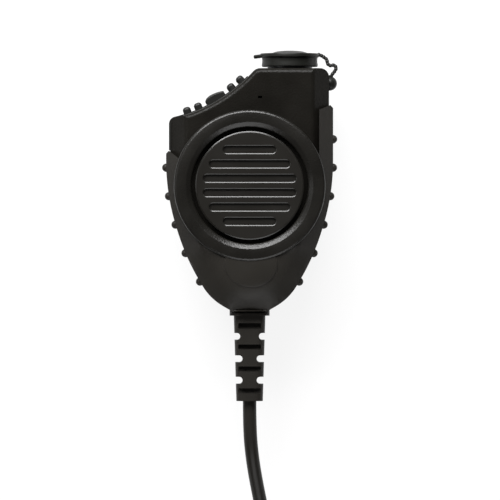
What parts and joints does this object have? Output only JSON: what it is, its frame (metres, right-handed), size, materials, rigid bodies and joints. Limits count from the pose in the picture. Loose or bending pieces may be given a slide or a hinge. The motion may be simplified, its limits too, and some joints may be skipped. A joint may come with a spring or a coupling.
{
  "type": "hand microphone",
  "caption": "Rugged hand-held speaker microphone with a round press-to-talk front plate, rubber grip, capped accessory socket, belt clip and straight cord.",
  "frame": {"origin": "on the surface that the microphone lies on, under the middle of its box without the free cord", "axes": "+X to the right seen from the front, +Y towards the socket end, +Z out of the front face"},
  "size_m": [0.0786, 0.3466, 0.0445],
  "materials": {
    "case": "spark-textured moulded nylon",
    "bezel": "satin moulded",
    "plate": "satin moulded",
    "grip": "soft-touch elastomer",
    "key_rubber": "silicone rubber",
    "cap_rubber": "moulded elastomer",
    "tether_nylon": "flexible nylon",
    "relief_rubber": "moulded PVC",
    "jacket": "satin PUR jacket",
    "clip_plastic": "glass-filled nylon",
    "steel": "plain steel",
    "black_steel": "black oxide",
    "socket_metal": "black anodised",
    "brass": "plain brass",
    "board": "solder mask",
    "chip": "moulded package",
    "cone_paper": "coated film",
    "mesh_cloth": "woven mesh",
    "wire_skin": "PVC insulation",
    "nickel": "nickel plated",
    "tie_skin": "hook tape"
  },
  "bodies": {
    "housing": {"front_shell": "case", "rear_shell": "case", "shell_seal": "key_rubber", "shell_screws": "black_steel", "grip_boot": "grip", "speaker_ring": "bezel", "plate_wave_spring": "steel", "plate_switch": "chip", "acoustic_mesh": "mesh_cloth", "speaker_gasket": "key_rubber", "speaker_frame": "steel", "speaker_cone": "cone_paper", "speaker_magnet": "steel", "main_board": "board", "board_parts": "chip", "board_screws": "steel", "board_connector": "chip", "lead_wires": "wire_skin", "inner_cable": "jacket", "cord_clamp": "clip_plastic", "clamp_screws": "steel", "mic_capsule": "steel", "mic_boot": "key_rubber", "key_strip": "key_rubber", "slope_switch": "chip", "slope_board": "board", "side_switch": "chip", "side_board": "board", "socket_body": "socket_metal", "socket_seal": "key_rubber", "socket_nut": "brass", "socket_tags": "brass", "cap_tether": "tether_nylon", "tether_anchor": "cap_rubber", "strain_relief": "relief_rubber", "swivel_stud": "black_steel", "cord": "jacket", "cord_coil": "jacket", "coil_tie": "tie_skin", "cord_tail": "jacket", "plug_relief": "relief_rubber", "plug_body": "relief_rubber", "plug_pins": "nickel"},
    "front_plate": {"press_plate": "plate", "plate_retainers": "steel"},
    "slope_button": {"slope_key": "key_rubber"},
    "side_button": {"side_key": "key_rubber"},
    "cap": {"dust_cap": "cap_rubber", "cap_seal": "key_rubber"},
    "clip": {"clip_base": "clip_plastic", "clip_pin": "steel", "clip_spring": "steel"},
    "jaw": {"clip_jaw": "clip_plastic"}
  },
  "joints": [
    {"name": "plate_press", "type": "slide", "parent": "housing", "child": "front_plate", "axis": [0, 0, -1], "range_m": [0, 0.0012], "stiffness_N_per_m": 800, "springref_m": -0.001, "deforming": ["plate_wave_spring"]},
    {"name": "slope_key_press", "type": "slide", "parent": "housing", "child": "slope_button", "axis": [0.506, -0.8625, 0], "range_m": [0, 0.0008], "stiffness_N_per_m": 700, "springref_m": -0.0008},
    {"name": "side_key_press", "type": "slide", "parent": "housing", "child": "side_button", "axis": [1, 0, 0], "range_m": [0, 0.0006], "stiffness_N_per_m": 700, "springref_m": -0.0008},
    {"name": "cap_swing", "type": "hinge", "parent": "housing", "child": "cap", "pos_m": [0.035, 0.0667, 0.0255], "axis": [0, 0, -1], "range_deg": [0, 150], "deforming": ["cap_tether"]},
    {"name": "clip_swivel", "type": "hinge", "parent": "housing", "child": "clip", "pos_m": [0, 0.0201, 0.009], "axis": [0, 0, 1], "continuous": true},
    {"name": "jaw_open", "type": "hinge", "parent": "clip", "child": "jaw", "pos_m": [0, 0.0371, 0.0059], "axis": [1, 0, 0], "range_deg": [0, 25], "stiffness_Nm_per_rad": 0.4, "springref_deg": -28.65}
  ]
}
